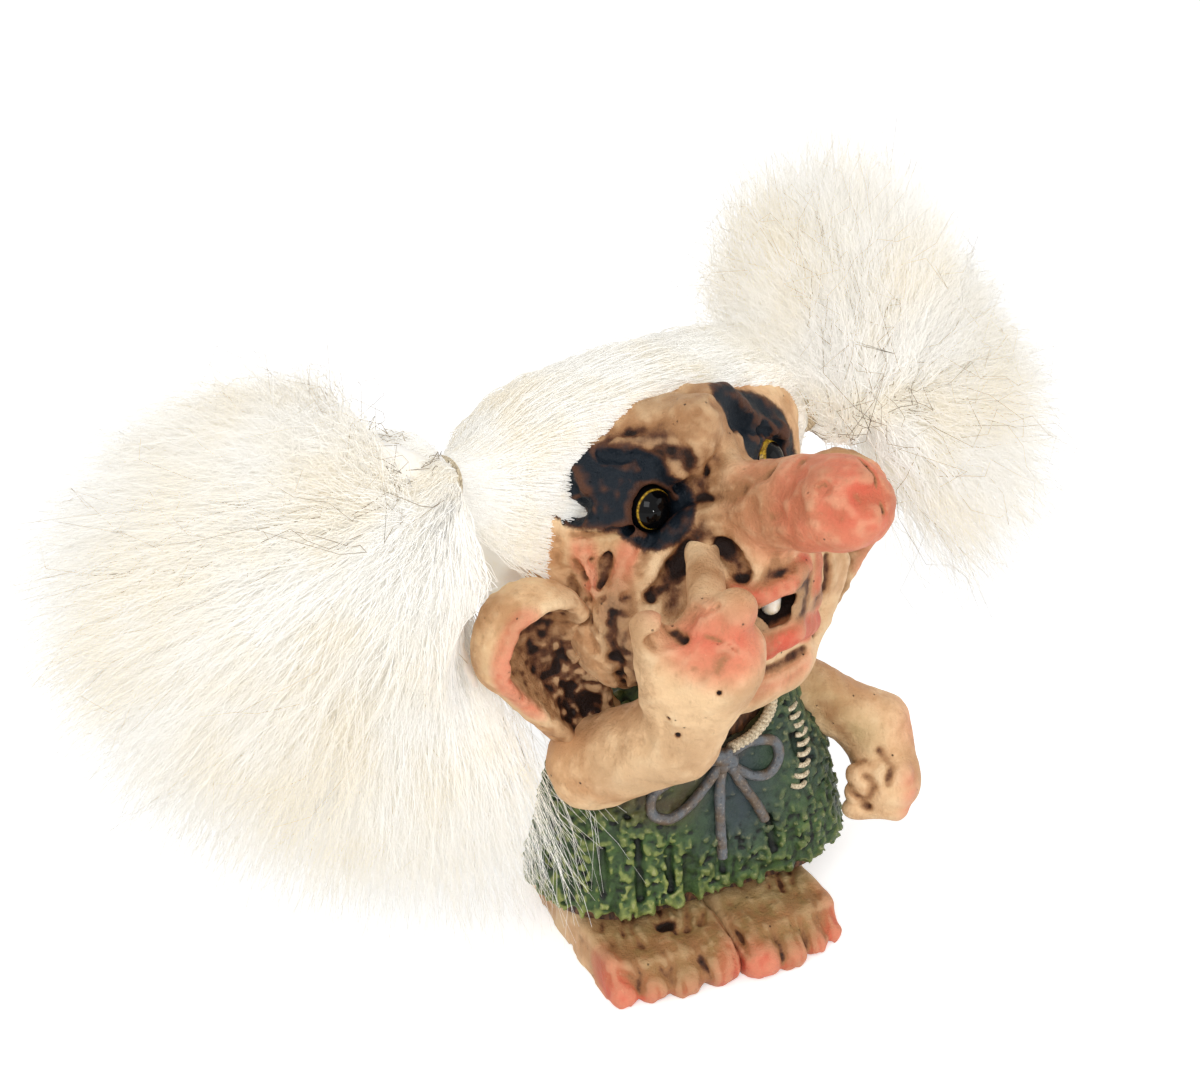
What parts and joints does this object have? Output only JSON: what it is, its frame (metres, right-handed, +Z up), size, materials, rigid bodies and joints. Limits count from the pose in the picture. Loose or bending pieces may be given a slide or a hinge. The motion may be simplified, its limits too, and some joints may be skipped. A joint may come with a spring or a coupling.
{
  "type": "norwegian troll figure",
  "caption": "Standing folk-tale troll ornament of painted cast resin, with a finger up its long nose, glass eyes and two tied bunches of white fleece hair.",
  "frame": {"origin": "on the ground under the middle of the neck, on the sole of the left foot", "axes": "+Z up, the figure looks along -Y, and its right side is at -X"},
  "size_m": [0.2765, 0.1087, 0.1816],
  "materials": {
    "feet": "hand-painted cast resin, olive-brown wash over coral",
    "core": "bare cast resin",
    "tunic": "hand-painted cast resin, moss green with pale dry brushing",
    "skin": "hand-painted cast resin, peach with dark brown wash in the folds",
    "hand": "hand-painted cast resin, pale pink cream",
    "nose": "hand-painted cast resin, tan at the root and coral at the tip",
    "lips": "hand-painted cast resin, coral",
    "tooth": "painted cream",
    "iris": "amber iris round a black pupil, painted",
    "eye_glass": "clear polished",
    "cord": "moulded cord, painted grey and brown",
    "fleece": "white long-fibre fleece with a few grey-brown fibres",
    "tie": "cream thread"
  },
  "bodies": {
    "root": {"foot_right": "feet", "foot_left": "feet", "body_core": "core", "tunic": "tunic", "head": "skin", "ear_right": "skin", "ear_left": "skin", "arm_right": "skin", "arm_left": "skin", "hand_right": "hand", "finger_index_right": "hand", "hand_left": "hand", "nose": "nose", "upper_lip": "lips", "lower_lip": "lips", "tooth_right": "tooth", "tooth_left": "tooth", "eye_disc_right": "iris", "eye_disc_left": "iris", "eye_lens_right": "eye_glass", "eye_lens_left": "eye_glass", "bow_knot": "cord", "bow_loop_right": "cord", "bow_loop_left": "cord", "bow_tail_middle": "cord", "bow_tail_side": "cord", "neck_cord_right": "cord", "neck_cord_left": "cord", "armhole_stitches": "cord", "scalp_fleece": "fleece", "hair_bunch_right": "fleece", "hair_bunch_left": "fleece", "hair_tie_right": "tie", "hair_tie_left": "tie"}
  },
  "joints": []
}
